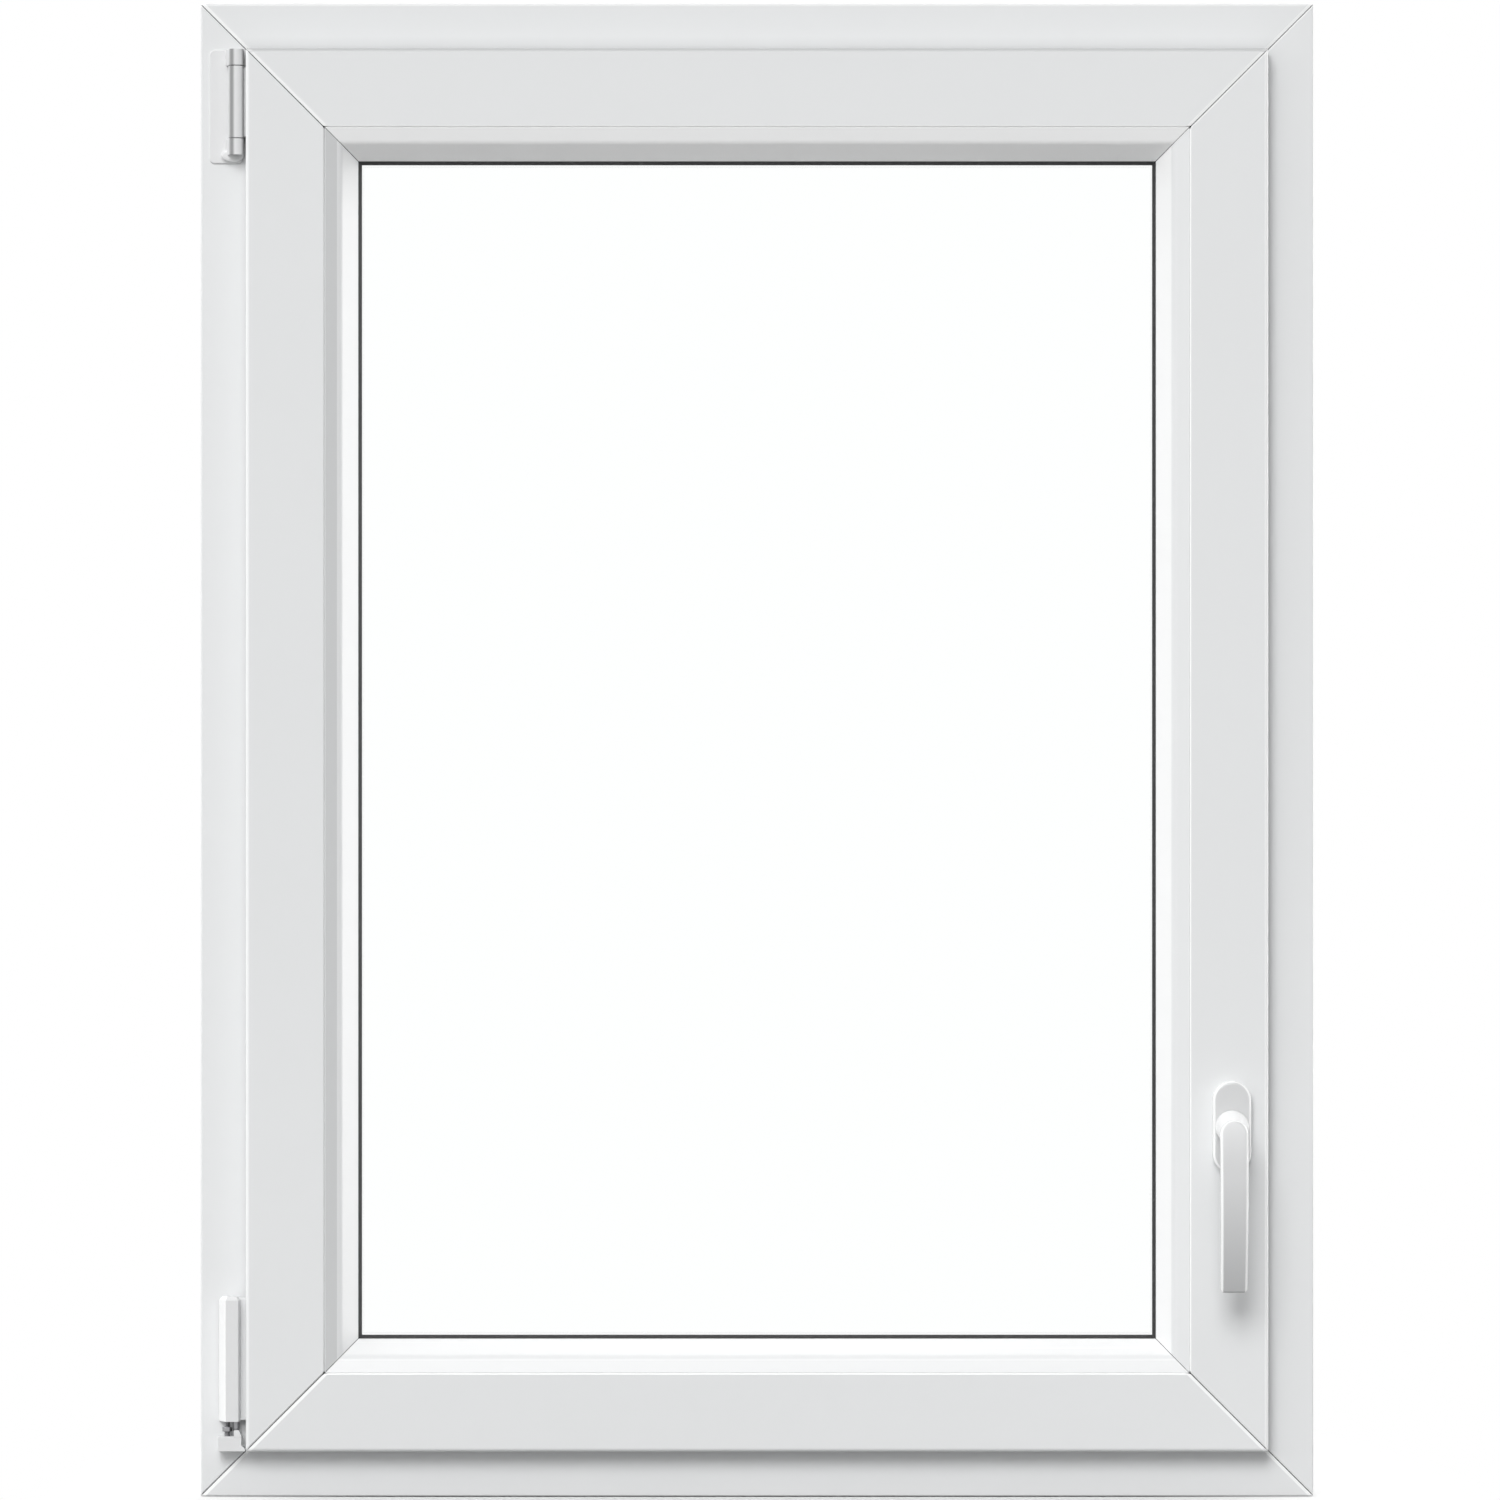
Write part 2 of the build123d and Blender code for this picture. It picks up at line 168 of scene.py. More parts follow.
skinGrain = {
    "lineStretch": (900, 1.5, 1),
    "lineDetail": 3.0,
    "mottleScale": 9.0,
    "mottleDetail": 4.0,
    "peelScale": 420.0,
    "peelDetail": 2.0,
    "lineSheen": 0.3,
    "sheenBase": 0.85,
    "trimmedPolish": 0.3,
}


# die lines along the bar, a soft mottle and a fine peel, as extruded and coated white parts have
# one point mark brightens and smooths the skin: partly trimmed weld plastic, partly painted highlight
# the other darkens it: partly grime in the joints, partly painted shade in grooves and on faces turned
# from the light
def skinGroup(grain):
    group, gIn, gOut = newGroup(
        "whiteSkin",
        [
            ("Colour", "NodeSocketColor", (0.8, 0.8, 0.8, 1)),
            ("Trim And Highlight Colour", "NodeSocketColor", (0.95, 0.955, 0.955, 1)),
            ("Grime And Shade Colour", "NodeSocketColor", (0.15, 0.152, 0.155, 1)),
            ("Painted Highlight", "NodeSocketFloat", 0.0),
            ("Mottle", "NodeSocketFloat", 0.02),
            ("Roughness", "NodeSocketFloat", 0.3),
            ("Die Lines", "NodeSocketFloat", 0.5),
            ("Peel", "NodeSocketFloat", 0.5),
        ],
        [
            ("Colour", "NodeSocketColor"),
            ("Roughness", "NodeSocketFloat"),
            ("Height", "NodeSocketFloat"),
        ],
    )
    links = group.links
    coord = makeNode(group, "ShaderNodeTexCoord")
    along = stretched(group, coord.outputs["UV"], grain["lineStretch"])
    local = coord.outputs["Object"]
    trimHighlightMark = makeNode(group, "ShaderNodeAttribute", attribute_name="trimAndHighlight").outputs["Fac"]
    trimAndHighlight = mathNode(group, "MAXIMUM", trimHighlightMark, gIn.outputs["Painted Highlight"])
    grimeAndShade = makeNode(group, "ShaderNodeAttribute", attribute_name="grimeAndShade").outputs["Fac"]
    lines = noiseNode(group, along, 1.0, grain["lineDetail"])
    mottle = noiseNode(group, local, grain["mottleScale"], grain["mottleDetail"])
    peel = noiseNode(group, local, grain["peelScale"], grain["peelDetail"])
    # painted highlight and painted shade go into the colour here
    skinned = mixColour(group, trimAndHighlight, gIn.outputs["Colour"], gIn.outputs["Trim And Highlight Colour"])
    soiledAndShaded = mixColour(group, grimeAndShade, skinned, gIn.outputs["Grime And Shade Colour"])
    # the mottle lifts and lowers the colour about its middle
    swing = mathNode(group, "MULTIPLY_ADD", mottle, 2.0, -1.0)
    gain = mathNode(group, "MULTIPLY_ADD", swing, gIn.outputs["Mottle"], 1.0)
    tint = makeNode(group, "ShaderNodeVectorMath", operation="SCALE")
    links.new(soiledAndShaded, tint.inputs[0])
    links.new(gain, tint.inputs["Scale"])
    links.new(tint.outputs[0], gOut.inputs["Colour"])
    sheen = mathNode(group, "MULTIPLY_ADD", lines, grain["lineSheen"], grain["sheenBase"])
    polish = mathNode(group, "MULTIPLY_ADD", trimAndHighlight, -grain["trimmedPolish"], sheen)
    rough = mathNode(group, "MULTIPLY", polish, gIn.outputs["Roughness"])
    links.new(rough, gOut.inputs["Roughness"])
    lineHeight = mathNode(group, "MULTIPLY", lines, gIn.outputs["Die Lines"])
    height = mathNode(group, "MULTIPLY_ADD", peel, gIn.outputs["Peel"], lineHeight)
    links.new(height, gOut.inputs["Height"])
    return group


whiteSkin = skinGroup(skinGrain)


def startMaterial(name):
    material = bpy.data.materials.new(name)
    material.use_nodes = True
    return material, material.node_tree, material.node_tree.nodes["Principled BSDF"]


whiteLooks = {
    "frame_pvc": {
        "colour": (0.775, 0.785, 0.79, 1),
        "mottle": 0.012, "roughness": 0.34, "dieLines": 0.35, "peel": 0.5,
    },
    "sash_pvc": {
        "colour": (0.77, 0.78, 0.785, 1),
        "mottle": 0.012, "roughness": 0.32, "dieLines": 0.35, "peel": 0.5,
    },
    "bead_pvc": {
        "colour": (0.77, 0.78, 0.785, 1),
        "mottle": 0.008, "roughness": 0.30, "dieLines": 0.3, "peel": 0.4,
    },
    # the handle's front is set darker than the other white parts: painted shade of its front face
    "handle_white": {
        "colour": (0.63, 0.635, 0.64, 1),
        "mottle": 0.006, "roughness": 0.30, "dieLines": 0.0, "peel": 1.2,
    },
    "hinge_white": {
        "colour": (0.74, 0.745, 0.75, 1),
        "mottle": 0.006, "roughness": 0.32, "dieLines": 0.0, "peel": 1.0,
    },
}
rubberLook = {
    "colour": (0.022, 0.022, 0.023, 1),
    "mottle": 0.25, "roughness": 0.55, "dieLines": 0.6, "peel": 1.0,
}
steelLook = {
    "colour": (0.30, 0.30, 0.31, 1),
    "mottle": 0.2, "roughness": 0.33, "dieLines": 0.0, "peel": 0.8,
}
bumps = {"white": 0.12, "rubber": 0.3, "steel": 0.2, "height": 0.2 * mm}


def skinMaterial(slot, look, bumpStrength, metallic=0.0):
    material, tree, shader = startMaterial(slot)
    shader.inputs["Metallic"].default_value = metallic
    skin = makeNode(tree, "ShaderNodeGroup", node_tree=whiteSkin, name="skin")
    skin.inputs["Colour"].default_value = look["colour"]
    skin.inputs["Mottle"].default_value = look["mottle"]
    skin.inputs["Roughness"].default_value = look["roughness"]
    skin.inputs["Die Lines"].default_value = look["dieLines"]
    skin.inputs["Peel"].default_value = look["peel"]
    bump = makeNode(tree, "ShaderNodeBump")
    bump.inputs["Strength"].default_value = bumpStrength
    bump.inputs["Distance"].default_value = bumps["height"]
    tree.links.new(skin.outputs["Colour"], shader.inputs["Base Color"])
    tree.links.new(skin.outputs["Roughness"], shader.inputs["Roughness"])
    tree.links.new(skin.outputs["Height"], bump.inputs["Height"])
    tree.links.new(bump.outputs["Normal"], shader.inputs["Normal"])
    return material


handleShading = {
    "tipShadeColour": (0.47, 0.475, 0.48, 1),
    "headHeight": 0.235,
    "tipHeight": 0.15,
    "sideways": (0.12, 0.45),  # how far a face has to turn before it is bright
    "upward": (0.5, 0.75),
}


# painted shade darkens the lever's front towards its tip, and a painted highlight lightens its sides
# and upward-facing rounded edges
def shadeHandle(material, front):
    tree = material.node_tree
    skin = tree.nodes["skin"]
    coord = makeNode(tree, "ShaderNodeTexCoord")
    facing = splitVector(tree, coord.outputs["Normal"])
    # faces turned sideways or upwards get the painted highlight
    sideways = softStep(tree, mathNode(tree, "ABSOLUTE", facing["X"]), *handleShading["sideways"])
    upward = softStep(tree, facing["Z"], *handleShading["upward"])
    tree.links.new(mathNode(tree, "MAXIMUM", sideways, upward), skin.inputs["Painted Highlight"])
    place = splitVector(tree, coord.outputs["Object"])
    towardTip = makeNode(tree, "ShaderNodeMapRange")
    towardTip.inputs["From Min"].default_value = handleShading["headHeight"]
    towardTip.inputs["From Max"].default_value = handleShading["tipHeight"]
    tree.links.new(place["Z"], towardTip.inputs["Value"])
    shadedFront = mixColour(tree, towardTip.outputs["Result"], front, handleShading["tipShadeColour"])
    tree.links.new(shadedFront, skin.inputs["Colour"])


glassLook = {"colour": (0.995, 1.0, 0.998, 1), "ior": 1.45}


def glassMaterial():
    material, tree, shader = startMaterial("clear_glass")
    shader.inputs["Base Color"].default_value = glassLook["colour"]
    shader.inputs["Roughness"].default_value = 0.0
    shader.inputs["IOR"].default_value = glassLook["ior"]
    shader.inputs["Transmission Weight"].default_value = 1.0
    # clear to shadow rays, so the panes let the lamps through
    path = makeNode(tree, "ShaderNodeLightPath")
    clear = makeNode(tree, "ShaderNodeBsdfTransparent")
    mixShaders(tree, path.outputs["Is Shadow Ray"], shader, clear)
    return material


spacerLook = {
    "colour": (0.55, 0.56, 0.58, 1),
    "hole": (0.06, 0.06, 0.06, 1),
    "holeSize": 0.5 * mm,
    "pitch": 4.5 * mm,
    "rowSpacing": 4 * mm,
    "grain": (1400, 6, 1),
    "grainDetail": 3.0,
    "smoothest": 0.25,
    "grainRoughness": 0.25,
}


# mill aluminium with rows of breather holes down each face
def spacerMaterial(look):
    material, tree, shader = startMaterial("spacer_metal")
    shader.inputs["Metallic"].default_value = 1.0
    coord = makeNode(tree, "ShaderNodeTexCoord")
    place = splitVector(tree, coord.outputs["UV"])
    across = mathNode(tree, "PINGPONG", place["X"], look["rowSpacing"])
    along = mathNode(tree, "PINGPONG", place["Y"], look["pitch"] / 2)
    offLine = mathNode(tree, "SUBTRACT", across, look["rowSpacing"] / 2)
    squares = [mathNode(tree, "MULTIPLY", side, side) for side in (offLine, along)]
    away = mathNode(tree, "SQRT", mathNode(tree, "ADD", *squares))
    inHole = mathNode(tree, "LESS_THAN", away, look["holeSize"])
    drilled = mixColour(tree, inHole, look["colour"], look["hole"])
    tree.links.new(drilled, shader.inputs["Base Color"])
    drawn = stretched(tree, coord.outputs["UV"], look["grain"])
    grain = noiseNode(tree, drawn, 1.0, look["grainDetail"])
    rough = mathNode(tree, "MULTIPLY_ADD", grain, look["grainRoughness"], look["smoothest"])
    tree.links.new(rough, shader.inputs["Roughness"])
    return material


finishes = {slot: skinMaterial(slot, look, bumps["white"]) for slot, look in whiteLooks.items()}
shadeHandle(finishes["handle_white"], whiteLooks["handle_white"]["colour"])
finishes["black_rubber"] = skinMaterial("black_rubber", rubberLook, bumps["rubber"])
finishes["hinge_steel"] = skinMaterial("hinge_steel", steelLook, bumps["steel"], metallic=1.0)
finishes["clear_glass"] = glassMaterial()
finishes["spacer_metal"] = spacerMaterial(spacerLook)

for part in frame["record"]["subparts"]:
    node = nodes[part["node"]]
    node.data.materials.clear()
    node.data.materials.append(finishes[part["material_slot"]])
print("materials made:", sorted(finishes))


# outlines and shells

arcSteps = 7  # straight pieces in a rounded corner


# round each corner of a closed outline, given as (a, b, radius)
# and at times its painted highlight and its painted shade
def roundedOutline(corners, steps=arcSteps):
    outline = []
    count = len(corners)
    for i, (a, b, radius, *_) in enumerate(corners):
        here = Vector((a, b))
        if radius <= 0:
            outline.append(here)
            continue
        toLast = (Vector(corners[i - 1][:2]) - here).normalized()
        toNext = (Vector(corners[(i + 1) % count][:2]) - here).normalized()
        half = toLast.angle(toNext) / 2
        middle = here + (toLast + toNext).normalized() * (radius / math.sin(half))
        first = here + toLast * (radius / math.tan(half)) - middle
        last = here + toNext * (radius / math.tan(half)) - middle
        sweep = math.atan2(first.x * last.y - first.y * last.x, first.dot(last))
        for k in range(steps + 1):
            c, s = math.cos(sweep * k / steps), math.sin(sweep * k / steps)
            outline.append(middle + Vector((first.x * c - first.y * s, first.x * s + first.y * c)))
    return outline


# the painted highlight or the painted shade of each point of that outline, chosen by which: inside a
# rounded corner, or at a sharp point
def outlineShading(corners, which, steps=arcSteps):
    values = []
    for _, _, radius, *wear in corners:
        mark = wear[which] if wear else 0
        values += [0] + [mark] * (steps - 1) + [0] if radius > 0 else [mark]
    return values


def ovalOutline(halfWidth, halfHeight, middle=(0, 0), steps=48):
    turns = [2 * math.pi * k / steps for k in range(steps)]
    return [
        Vector((middle[0] + halfWidth * math.cos(t), middle[1] + halfHeight * math.sin(t)))
        for t in turns
    ]


# the same outline moved in by a small amount; leastStretch keeps sharp corners from running away
def insetOutline(outline, amount, leastStretch=0.5):
    count = len(outline)
    area = sum(p.x * q.y - q.x * p.y for p, q in zip(outline, outline[1:] + outline[:1]))
    inward = 1 if area > 0 else -1
    moved = []
    for i, point in enumerate(outline):
        before = (point - outline[i - 1]).normalized()
        after = (outline[(i + 1) % count] - point).normalized()
        along = (before + after).normalized()
        stretch = max(leastStretch, math.sqrt(max(0.0, (1 + before.dot(after)) / 2)))
        moved.append(point + Vector((-along.y, along.x)) * (inward * amount / stretch))
    return moved


def runningLength(outline):
    reach = [0.0]
    for p, q in zip(outline, outline[1:] + outline[:1]):
        reach.append(reach[-1] + (q - p).length)
    return reach


# a skin over a stack of rings, capped at both ends unless it closes on itself
def ringShell(rings, rows, outline, closed=False):
    count, reach = len(outline), runningLength(outline)
    points = [p for ring in rings for p in ring]
    faces, uvs = [], []
    spans = len(rings) if closed else len(rings) - 1
    for r in range(spans):
        low, high = r * count, ((r + 1) % len(rings)) * count
        for j in range(count):
            k = (j + 1) % count
            faces.append([low + j, low + k, high + k, high + j])
            near, far, start, end = reach[j], reach[j + 1], rows[r], rows[r + 1]
            uvs.append([(near, start), (far, start), (far, end), (near, end)])
    if not closed:
        for first in (0, (len(rings) - 1) * count):
            faces.append(list(range(first, first + count)))
            uvs.append([tuple(p) for p in outline])
    return points, faces, uvs


# an outline pushed through levels, drawn in a little at some of them
def softPrism(outline, layers, place):
    rings = []
    for level, inset in layers:
        rings.append([place(p.x, p.y, level) for p in insetOutline(outline, inset)])
    return ringShell(rings, [level for level, inset in layers], outline)


easeSteps = 4  # in a rounded end


# levels of a prism with both ends rounded off
def easedLevels(low, high, lowRadius, highRadius, steps=easeSteps):
    layers = []
    for k in range(steps + 1) if lowRadius else [steps]:
        turn = math.pi / 2 * k / steps
        layers.append((low + lowRadius * (1 - math.cos(turn)), lowRadius * (1 - math.sin(turn))))
    for k in range(steps, -1, -1) if highRadius else [steps]:
        turn = math.pi / 2 * k / steps
        layers.append((high - highRadius * (1 - math.cos(turn)), highRadius * (1 - math.sin(turn))))
    return layers


smoothing = {"sharpFrom": math.radians(32), "flatWeight": 100}


# one object from its shells, in the place of a CAD node; marks are values for its points
def makePiece(name, shells, slot, node, marks=None):
    points, faces, uvs = [], [], []
    for shellPoints, shellFaces, shellUvs in shells:
        faces += [[len(points) + i for i in face] for face in shellFaces]
        points += shellPoints
        uvs += shellUvs
    mesh = bpy.data.meshes.new(name)
    mesh.from_pydata(points, [], faces)
    layer = mesh.uv_layers.new(name="length")
    for polygon, corners in zip(mesh.polygons, uvs):
        for loop, uv in zip(polygon.loop_indices, corners):
            layer.data[loop].uv = uv
    work = bmesh.new()
    work.from_mesh(mesh)
    bmesh.ops.recalc_face_normals(work, faces=work.faces)
    work.to_mesh(mesh)
    work.free()
    mesh.polygons.foreach_set("use_smooth", [True] * len(mesh.polygons))
    mesh.set_sharp_from_angle(angle=smoothing["sharpFrom"])
    for mark, values in (marks or {}).items():
        mesh.attributes.new(mark, "FLOAT", "POINT").data.foreach_set("value", values)
    mesh.materials.append(finishes[slot])
    piece = bpy.data.objects.new(name, mesh)
    scene.collection.objects.link(piece)
    flat = piece.modifiers.new("flatFaces", "WEIGHTED_NORMAL")
    flat.keep_sharp = True
    flat.weight = smoothing["flatWeight"]
    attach(piece, "window")
    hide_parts(node)


# bars and rings round the window

# inward distance, depth and place along a side
def onSide(side, inward, depth, along):
    halfWidth = at["width"] / 2
    if side == "left":
        return Vector((-halfWidth + inward, depth, at["height"] / 2 + along))
    if side == "right":
        return Vector((halfWidth - inward, depth, at["height"] / 2 - along))
    if side == "top":
        return Vector((along, depth, at["height"] - inward))
    return Vector((-along, depth, inward))


# a bar mitred at both ends, whose skin dips towards the joint
def mitredBar(side, corners, joint, slot, node, paintedLight=0):
    outline = roundedOutline(corners)
    # painted highlight and painted shade along the outline
    highlightMarks, shadeMarks = outlineShading(corners, 0), outlineShading(corners, 1)
    half = (at["height"] if side in ("left", "right") else at["width"]) / 2
    rings, rows = [], []
    marks = {"trimAndHighlight": [], "grimeAndShade": []}
    for end in (-1, 1):
        for back, dip, trimAndHighlight, grimeAndShade in joint if end < 0 else joint[::-1]:
            skin = insetOutline(outline, dip * mm)
            places = [end * (half - point.x - back * mm) for point in outline]
            rings.append([onSide(side, p.x, p.y, along) for p, along in zip(skin, places)])
            rows.append(end * (half - back * mm))
            marks["trimAndHighlight"] += [max(trimAndHighlight, value, paintedLight) for value in highlightMarks]
            marks["grimeAndShade"] += [max(grimeAndShade, value) for value in shadeMarks]
    makePiece(node + "_profile", [ringShell(rings, rows, outline)], slot, node, marks)


stripSteps = 5  # in a strip's rounded corner


# a strip that runs right round, joined at its corners
def cornerRing(name, corners, slot, node):
    outline = roundedOutline(corners, stripSteps)
    width, height = at["width"], at["height"]
    rings = []
    for sx, top in ((-1, False), (1, False), (1, True), (-1, True)):
        heights = [height - p.x if top else p.x for p in outline]
        rings.append([Vector((sx * (width / 2 - p.x), p.y, z)) for p, z in zip(outline, heights)])
    rows = [0, width, width + height, 2 * width + height, 2 * width + 2 * height]
    makePiece(name, [ringShell(rings, rows, outline, closed=True)], slot, node)


# how a corner is finished: back from the mitre and depth in mm, then the trim-and-highlight mark and
# the grime-and-shade mark
# the bevel's brightness is partly trimmed plastic and partly painted highlight, stronger on the rails
# than on the stiles; the dark core is joint grime deepened by painted groove shade
weldBrightBevel = [
    (0, 0.9, 0, 1),
    (0.1, 0.85, 0, 1),
    (0.14, 0.45, 1, 0),
    (3.2, 0, 1, 0),
    (3.25, 0, 0, 0),
]
weldDimBevel = [
    (0, 0.9, 0, 1),
    (0.9, 0.8, 0, 1),
    (0.95, 0.45, 0.4, 0),
    (1.9, 0, 0.4, 0),
    (1.95, 0, 0, 0),
]
welds = {"bottom": weldBrightBevel, "top": weldBrightBevel, "left": weldDimBevel, "right": weldDimBevel}
cutCorner = [(0, 0.3, 0, 1), (0.15, 0.12, 0, 0.6), (0.4, 0, 0, 0)]

frameBar = {
    "rebateFloor": 42 * mm,
    "stopThickness": 16.5 * mm,
    "edgeRadius": 1.5 * mm,
    "stopRadius": 3 * mm,
    "smallRadius": 1 * mm,
    "grooveWidth": 8 * mm,
    "grooveDepth": 4 * mm,
    "grooveSpacing": 34 * mm,
    "shadeFrom": 24 * mm,
    "shadeTo": 40 * mm,
    "shadeNearSash": {"bottom": 0, "top": 0.2, "left": 0, "right": 0},  # painted shade on the frame head, just above the sash
    "nodes": {
        "bottom": "frame_sill",
        "top": "frame_head",
        "left": "frame_left_jamb",
        "right": "frame_right_jamb",
    },
}


def frameCorners(f, side):
    room, outside = at["frameRoom"], at["frameOutside"]
    stopRoom = outside - f["stopThickness"]
    corners = [
        (0, room, f["edgeRadius"]),
        (f["shadeFrom"], room, 0),
        (f["shadeTo"], room, 0, 0, f["shadeNearSash"][side]),
        (f["rebateFloor"], room, f["edgeRadius"]),
        (f["rebateFloor"], stopRoom, 0),
        (at["stopEdge"], stopRoom, f["smallRadius"]),
        (at["stopEdge"], outside, f["stopRadius"]),
        (0, outside, f["edgeRadius"]),
    ]
    deep = f["grooveDepth"]
    for middle in (f["grooveSpacing"] / 2, -f["grooveSpacing"] / 2):
        near, far = middle + f["grooveWidth"] / 2, middle - f["grooveWidth"] / 2
        corners += [(0, near, 0), (deep, near, 0), (deep, far, 0), (0, far, 0)]
    return corners


for side, node in frameBar["nodes"].items():
    mitredBar(side, frameCorners(frameBar, side), welds[side], "frame_pvc", node)
print("frame bars made")


sashBar = {
    "overlapGap": 3.5 * mm,
    "backEdge": 54 * mm,
    "leg": 15 * mm,
    "legBevel": 6 * mm,
    "edgeRadius": 3 * mm,
    "innerRadius": 1.3 * mm,
    "smallRadius": 1 * mm,
    # painted highlight and painted shade on each edge
    "outerEdgeShading": {"bottom": (0, 0), "top": (0, 0.4), "left": (0.35, 0), "right": (1, 0)},
    "innerEdgeShading": {"bottom": (1, 0), "top": (1, 0), "left": (0, 0.08), "right": (1, 0)},
    "nodes": {
        "bottom": "sash_bottom_rail",
        "top": "sash_top_rail",
        "left": "sash_hinge_stile",
        "right": "sash_lock_stile",
    },
}
overlapBack = at["frameRoom"] - sashBar["overlapGap"]
legRoom = at["sashOutside"] - sashBar["leg"]


def sashCorners(s, side):
    return [
        (at["sashEdge"], overlapBack, s["smallRadius"]),
        (at["sashEdge"], at["sashRoom"], s["edgeRadius"], *s["outerEdgeShading"][side]),
        (at["beadSeat"], at["sashRoom"], s["innerRadius"], *s["innerEdgeShading"][side]),
        (at["beadSeat"], legRoom, 0),
        (at["sightLine"], legRoom, s["smallRadius"]),
        (at["sightLine"], at["sashOutside"] - s["legBevel"], s["smallRadius"]),
        (at["sightLine"] - s["legBevel"], at["sashOutside"], s["innerRadius"]),
        (s["backEdge"], at["sashOutside"], s["smallRadius"]),
        (s["backEdge"], overlapBack, 0),
    ]


for side, node in sashBar["nodes"].items():
    mitredBar(side, sashCorners(sashBar, side), welds[side], "sash_pvc", node)
print("sash bars made")


beadBar = {
    "setback": 0.8 * mm,
    "shelf": 11.5 * mm,
    "shelfDrop": 4.4 * mm,
    "noseRadius": 8 * mm,
    "lip": 2.5 * mm,
    "edgeRadius": 0.4 * mm,
    "paintedLight": {"bottom": 0, "top": 0.9, "left": 0, "right": 0},  # painted light over the whole top bead
    # painted shade on the shelf
    "shelfShade": {"bottom": 0.13, "top": 0, "left": 0.22, "right": 0},
    "shadeAlong": (0.06, 0.76),  # of the shelf
    "steepHighlight": {"bottom": 0.45, "top": 0, "left": 0.6, "right": 0.9},  # wiped with the glass
    "highlightAlong": (0.16, 0.97),  # painted highlight on the steep face
}


def beadCorners(b, side):
    seat = Vector((at["beadSeat"], at["sashRoom"] + b["setback"]))
    nose = seat + Vector((b["shelf"], b["shelfDrop"]))
    lip = Vector((at["sightLine"], at["beadBack"] - b["lip"]))
    return [
        (*seat, b["edgeRadius"]),
        *[(*seat.lerp(nose, t), 0, 0, b["shelfShade"][side]) for t in b["shadeAlong"]],
        (*nose, b["noseRadius"]),
        *[(*nose.lerp(lip, t), 0, b["steepHighlight"][side], 0) for t in b["highlightAlong"]],
        (*lip, b["edgeRadius"]),
        (at["sightLine"], at["beadBack"], 0),
        (at["beadSeat"], at["beadBack"], 0),
    ]


for side, paintedLight in beadBar["paintedLight"].items():
    mitredBar(side, beadCorners(beadBar, side), cutCorner, "bead_pvc", f"bead_{side}", paintedLight)
print("beads made")


gasket = {
    "grip": 6 * mm,
    "roomLip": 2.6 * mm,
    "outsideLip": 1.5 * mm,
    "tip": 0.7 * mm,
    "round": 0.3 * mm,
}


def gasketCorners(g, holder, glass, lip):
    tip = glass + math.copysign(g["tip"], holder - glass)
    return [
        (at["sightLine"] - g["grip"], holder, 0),
        (at["sightLine"], holder, g["round"]),
        (at["sightLine"] + lip, tip, g["round"]),
        (at["sightLine"] + lip, glass, 0),
        (at["sightLine"] - g["grip"], glass, 0),
    ]


roomGasket = gasketCorners(gasket, at["beadBack"], at["glassRoom"], gasket["roomLip"])
outsideGasket = gasketCorners(gasket, legRoom, at["glassOutside"], gasket["outsideLip"])
cornerRing("room_gasket", roomGasket, "black_rubber", "glazing_gasket_room_side")
cornerRing("outside_gasket", outsideGasket, "black_rubber", "glazing_gasket_outside")

seal = {"width": 4 * mm, "sashInset": 1.5 * mm, "frameInset": 2 * mm, "bulb": 1.2 * mm}


def sealCorners(s, first, room, outside):
    last = first + s["width"]
    corners = [(first, room), (last, room), (last, outside), (first, outside)]
    return [(*corner, s["bulb"]) for corner in corners]


overlapSeal = sealCorners(seal, at["sashEdge"] + seal["sashInset"], overlapBack, at["frameRoom"])
stopSeal = sealCorners(seal, at["stopEdge"] - seal["frameInset"] - seal["width"], at["sashOutside"],
                       at["frameOutside"] - frameBar["stopThickness"])
cornerRing("overlap_seal_strip", overlapSeal, "black_rubber", "overlap_seal")
cornerRing("stop_seal_strip", stopSeal, "black_rubber", "stop_seal")

spacer = {"inset": 9 * mm, "width": 8 * mm}
spacerEdge = at["beadSeat"] + spacer["inset"]
spacerCorners = [
    (spacerEdge, at["cavityRoom"], 0),
    (spacerEdge + spacer["width"], at["cavityRoom"], 0),
    (spacerEdge + spacer["width"], at["cavityOutside"], 0),
    (spacerEdge, at["cavityOutside"], 0),
]
cornerRing("spacer_bar", spacerCorners, "spacer_metal", "glass_spacer")
print("seals and spacer made")


# hinges: a and b run right and to the outside from the hinge axis

def aroundAxis(a, b, height):
    return Vector((at["hingeX"] + a, at["hingeY"] + b, height))


# a runs right, b up, and the levels stand out from a face towards the room
def onFace(middleX, faceY, middleZ):
    return lambda a, b, level: Vector((middleX + a, faceY - level, middleZ + b))


def rectangle(a0, a1, b0, b1, radius=0.0):
    return [(a0, b0, radius), (a1, b0, radius), (a1, b1, radius), (a0, b1, radius)]


toSash = -at["width"] / 2 + at["sashEdge"] - at["hingeX"]
toFrame = at["frameRoom"] - at["hingeY"]

